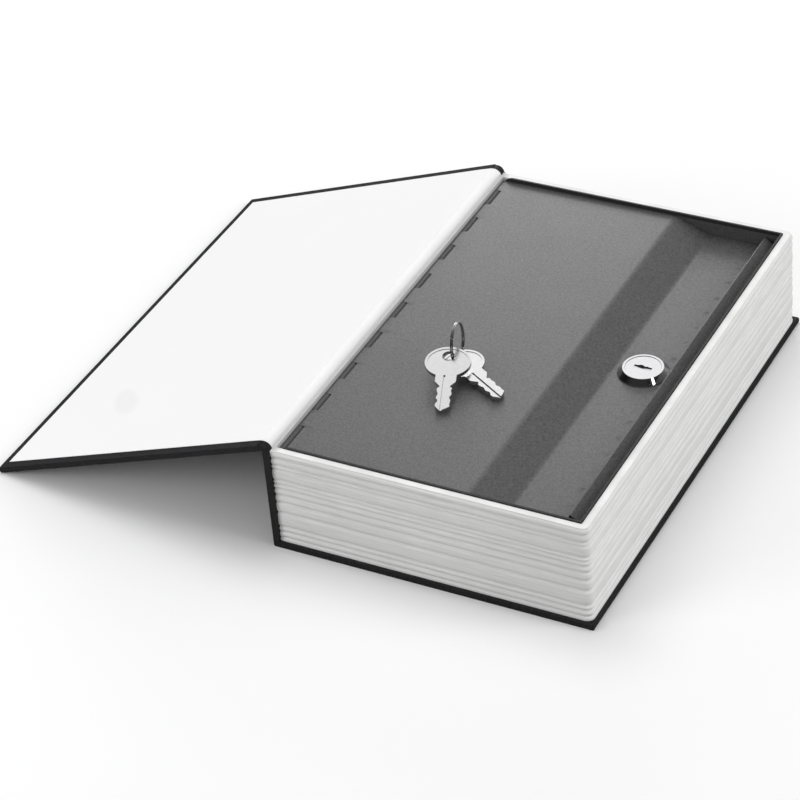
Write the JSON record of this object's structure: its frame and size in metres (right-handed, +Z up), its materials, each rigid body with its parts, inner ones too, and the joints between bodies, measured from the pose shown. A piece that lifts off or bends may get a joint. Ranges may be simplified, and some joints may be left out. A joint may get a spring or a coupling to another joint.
{
  "type": "book diversion safe",
  "caption": "Hardback book shaped cash box: open front cover, ribbed page block round a steel box, stepped grey lid with key lock and a ring of keys on it",
  "frame": {"origin": "middle of the back cover's flat underside, on the surface the book lies on", "axes": "+Z up, away from the back cover; +X from the spine to the fore-edge; +Y along the spine, away from the viewer of the picture"},
  "size_m": [0.2985, 0.24, 0.0702],
  "materials": {
    "cover_cloth": "matt black leatherette over board, fine grain",
    "joint_cloth": "matt black leatherette, flexible at the fold",
    "board": "grey-brown bookbinder's board, hidden",
    "endpaper": "white uncoated paper",
    "lining": "white paper hinge",
    "magnet": "nickel plated disc magnet",
    "page_block": "off-white moulded page edges, satin",
    "box_steel": "dark grey powder coat",
    "lid_steel": "mid grey powder coat, fine texture",
    "pin_steel": "plain steel pin",
    "lock_chrome": "bright chrome plate",
    "wafer_brass": "plain brass",
    "zinc": "zinc plated steel",
    "key_nickel": "nickel plated brass, bright",
    "ring_chrome": "bright steel wire"
  },
  "bodies": {
    "book": {"case_cloth": "cover_cloth", "back_board": "board", "back_endpaper": "endpaper", "spine_board": "board", "spine_lining": "endpaper", "cover_joint": "joint_cloth", "joint_lining": "lining", "page_block": "page_block", "steel_box": "box_steel", "hinge_pin": "pin_steel"},
    "cover": {"front_cloth": "cover_cloth", "front_board": "board", "front_endpaper": "endpaper", "cover_magnet": "magnet"},
    "lid": {"lid": "lid_steel", "lock_housing": "lock_chrome", "lock_washer": "zinc", "lock_nut": "zinc"},
    "plug": {"lock_plug": "lock_chrome", "wafer_1": "wafer_brass", "wafer_2": "wafer_brass", "wafer_3": "wafer_brass", "wafer_4": "wafer_brass", "wafer_5": "wafer_brass", "lock_cam": "zinc", "cam_washer": "zinc", "cam_screw": "zinc"},
    "ring": {"key_ring": "ring_chrome"},
    "front_key": {"key_front": "key_nickel"},
    "back_key": {"key_back": "key_nickel"}
  },
  "joints": [
    {"name": "cover_fold", "type": "hinge", "parent": "book", "child": "cover", "pos_m": [-0.0756, 0, 0.0548], "axis": [0, -1, 0], "range_deg": [-200.16, 0], "deforming": ["cover_joint", "joint_lining"]},
    {"name": "lid_hinge", "type": "hinge", "parent": "book", "child": "lid", "pos_m": [-0.0712, 0, 0.0492], "axis": [0, -1, 0], "range_deg": [0, 90]},
    {"name": "plug_turn", "type": "hinge", "parent": "lid", "child": "plug", "pos_m": [0.0486, 0.002, 0.0441], "axis": [0, 0, -1], "range_deg": [0, 90]},
    {"name": "keys_lift", "type": "slide", "parent": "lid", "child": "ring", "axis": [0, -0.9659, 0.2588], "range_m": [0, 0.14]},
    {"name": "key_front_swing", "type": "hinge", "parent": "ring", "child": "front_key", "pos_m": [-0.02741, -0.03711, 0.06], "axis": [0.0735, -0.2054, 0.9759], "range_deg": [-40, 30]},
    {"name": "key_back_swing", "type": "hinge", "parent": "ring", "child": "back_key", "pos_m": [-0.02493, -0.0333, 0.0562], "axis": [0.0854, -0.0435, 0.9954], "range_deg": [-20, 40]}
  ],
  "couplings": [
    {"joint": "keys_lift", "follows": "cover_fold", "m_per_rad": -0.040075}
  ]
}
